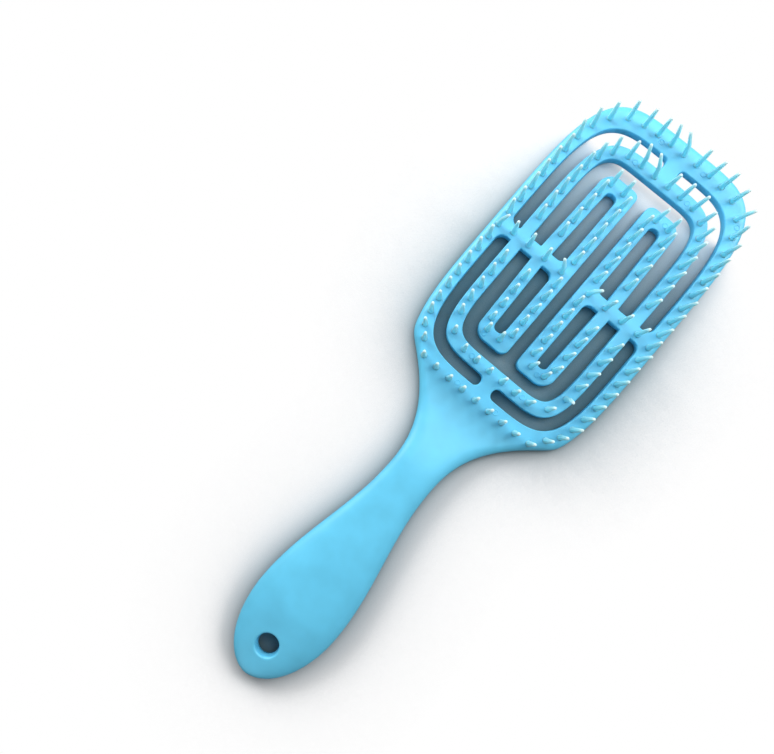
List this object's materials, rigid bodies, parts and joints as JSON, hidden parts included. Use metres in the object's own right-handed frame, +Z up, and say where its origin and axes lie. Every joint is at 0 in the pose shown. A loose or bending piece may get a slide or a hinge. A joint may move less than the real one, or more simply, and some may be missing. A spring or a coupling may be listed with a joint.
{
  "type": "vented hair brush",
  "caption": "Flat paddle hair brush with an open lattice head of moulded ribs, upright tapered pins, springy inner loops and a handle with a hanging hole.",
  "frame": {"origin": "bottom centre of the bounding box, on the flat back of the head", "axes": "+Y along the brush from the handle to the head's tip, +Z up along the pins, +X across the head"},
  "size_m": [0.0744, 0.2428, 0.0187],
  "materials": {
    "moulded_plastic": "satin, as it leaves the mould"
  },
  "bodies": {
    "frame": {"handle": "moulded_plastic", "rim_top_bar": "moulded_plastic", "rim_bottom_bar": "moulded_plastic", "rim_right_top_bend": "moulded_plastic", "rim_right_upper_bend": "moulded_plastic", "rim_right_upper_side": "moulded_plastic", "rim_right_lower_side": "moulded_plastic", "rim_right_lower_bend": "moulded_plastic", "rim_left_top_bend": "moulded_plastic", "rim_left_upper_bend": "moulded_plastic", "rim_left_upper_side": "moulded_plastic", "rim_left_lower_side": "moulded_plastic", "rim_left_lower_bend": "moulded_plastic", "hoop_top_bar": "moulded_plastic", "hoop_bottom_bar": "moulded_plastic", "hoop_right_upper_bend": "moulded_plastic", "hoop_right_upper_side": "moulded_plastic", "hoop_right_lower_side": "moulded_plastic", "hoop_right_lower_bend": "moulded_plastic", "hoop_left_upper_bend": "moulded_plastic", "hoop_left_upper_side": "moulded_plastic", "hoop_left_lower_side": "moulded_plastic", "hoop_left_lower_bend": "moulded_plastic", "top_bridge": "moulded_plastic", "bottom_bridge": "moulded_plastic", "right_crossbar": "moulded_plastic", "left_crossbar": "moulded_plastic"},
    "right_loop": {"right_loop_web": "moulded_plastic", "right_loop_inner_arm_upper": "moulded_plastic", "right_loop_outer_arm_upper": "moulded_plastic", "right_loop_upper_end": "moulded_plastic", "right_loop_inner_arm_lower": "moulded_plastic", "right_loop_outer_arm_lower": "moulded_plastic", "right_loop_lower_end": "moulded_plastic"},
    "left_loop": {"left_loop_web": "moulded_plastic", "left_loop_inner_arm_upper": "moulded_plastic", "left_loop_outer_arm_upper": "moulded_plastic", "left_loop_upper_end": "moulded_plastic", "left_loop_inner_arm_lower": "moulded_plastic", "left_loop_outer_arm_lower": "moulded_plastic", "left_loop_lower_end": "moulded_plastic"}
  },
  "joints": [
    {"name": "right_loop_flex", "type": "hinge", "parent": "frame", "child": "right_loop", "pos_m": [0.01765, 0.05633, 0.0021], "axis": [1, 0, 0], "range_deg": [-5, 5], "stiffness_Nm_per_rad": 0.5},
    {"name": "left_loop_flex", "type": "hinge", "parent": "frame", "child": "left_loop", "pos_m": [-0.01765, 0.05633, 0.0021], "axis": [1, 0, 0], "range_deg": [-5, 5], "stiffness_Nm_per_rad": 0.5}
  ]
}
